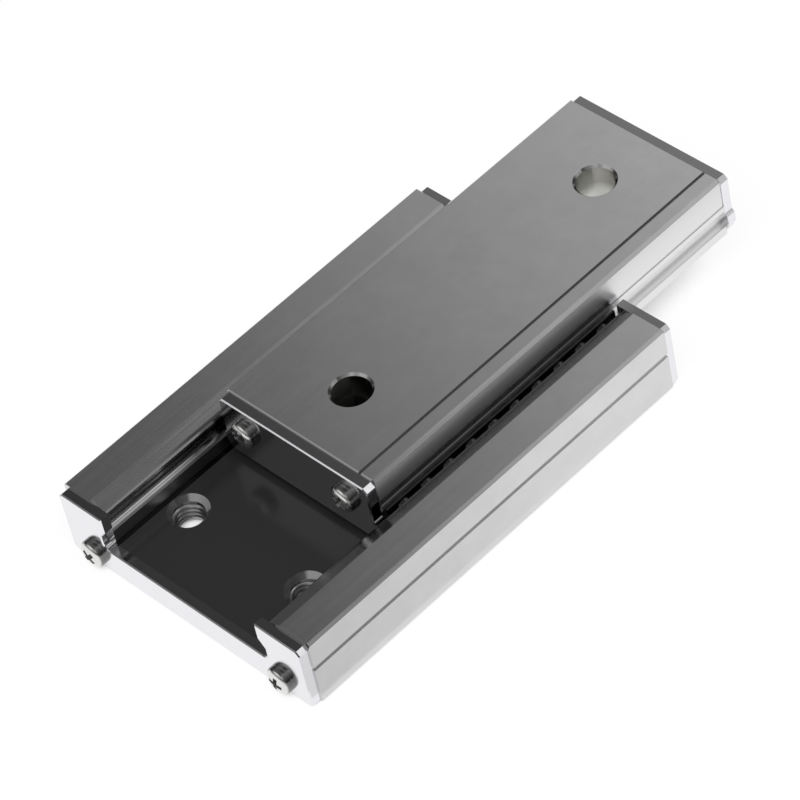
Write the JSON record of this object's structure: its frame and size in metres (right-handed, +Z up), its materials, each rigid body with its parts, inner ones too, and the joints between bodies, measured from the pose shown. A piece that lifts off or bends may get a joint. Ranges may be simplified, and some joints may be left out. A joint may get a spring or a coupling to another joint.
{
  "type": "linear slide",
  "caption": "Miniature linear slide: a low steel table runs in a U-shaped bed on caged balls, between thin screwed end plates, with mounting holes in bed and table.",
  "frame": {"origin": "middle of the bed's underside", "axes": "+X along the travel, towards the end where the table is drawn out in the stored pose; +Z up, from the bed's underside to the table's top; +Y across the bed, away from the scribed datum side"},
  "size_m": [0.0826, 0.04, 0.0136],
  "materials": {
    "ground_steel": "ground stainless steel, fine grain along the travel",
    "plate_steel": "thin smooth stainless steel plate",
    "screw_steel": "bright stainless steel pan head screw",
    "cage_steel": "thin stamped stainless steel strip",
    "ball_steel": "polished bearing steel"
  },
  "bodies": {
    "bed": {"bed": "ground_steel", "bed_front_plate": "plate_steel", "bed_rear_plate": "plate_steel", "bed_screw_front_left": "screw_steel", "bed_screw_front_right": "screw_steel", "bed_screw_rear_left": "screw_steel", "bed_screw_rear_right": "screw_steel"},
    "table": {"table": "ground_steel", "table_front_plate": "plate_steel", "table_rear_plate": "plate_steel", "table_screw_front_left": "screw_steel", "table_screw_front_right": "screw_steel", "table_screw_rear_left": "screw_steel", "table_screw_rear_right": "screw_steel"},
    "cage_left": {"ball_cage_left": "cage_steel", "ball_left_01": "ball_steel", "ball_left_02": "ball_steel", "ball_left_03": "ball_steel", "ball_left_04": "ball_steel", "ball_left_05": "ball_steel", "ball_left_06": "ball_steel", "ball_left_07": "ball_steel", "ball_left_08": "ball_steel", "ball_left_09": "ball_steel", "ball_left_10": "ball_steel"},
    "cage_right": {"ball_cage_right": "cage_steel", "ball_right_01": "ball_steel", "ball_right_02": "ball_steel", "ball_right_03": "ball_steel", "ball_right_04": "ball_steel", "ball_right_05": "ball_steel", "ball_right_06": "ball_steel", "ball_right_07": "ball_steel", "ball_right_08": "ball_steel", "ball_right_09": "ball_steel", "ball_right_10": "ball_steel"}
  },
  "joints": [
    {"name": "table_travel", "type": "slide", "parent": "bed", "child": "table", "axis": [1, 0, 0], "range_m": [-0.0393, 0.0007]},
    {"name": "cage_left_roll", "type": "slide", "parent": "bed", "child": "cage_left", "axis": [1, 0, 0], "range_m": [-0.01965, 0.00035]},
    {"name": "cage_right_roll", "type": "slide", "parent": "bed", "child": "cage_right", "axis": [1, 0, 0], "range_m": [-0.01965, 0.00035]}
  ],
  "couplings": [
    {"joint": "cage_left_roll", "follows": "table_travel", "ratio": 0.5},
    {"joint": "cage_right_roll", "follows": "table_travel", "ratio": 0.5}
  ]
}
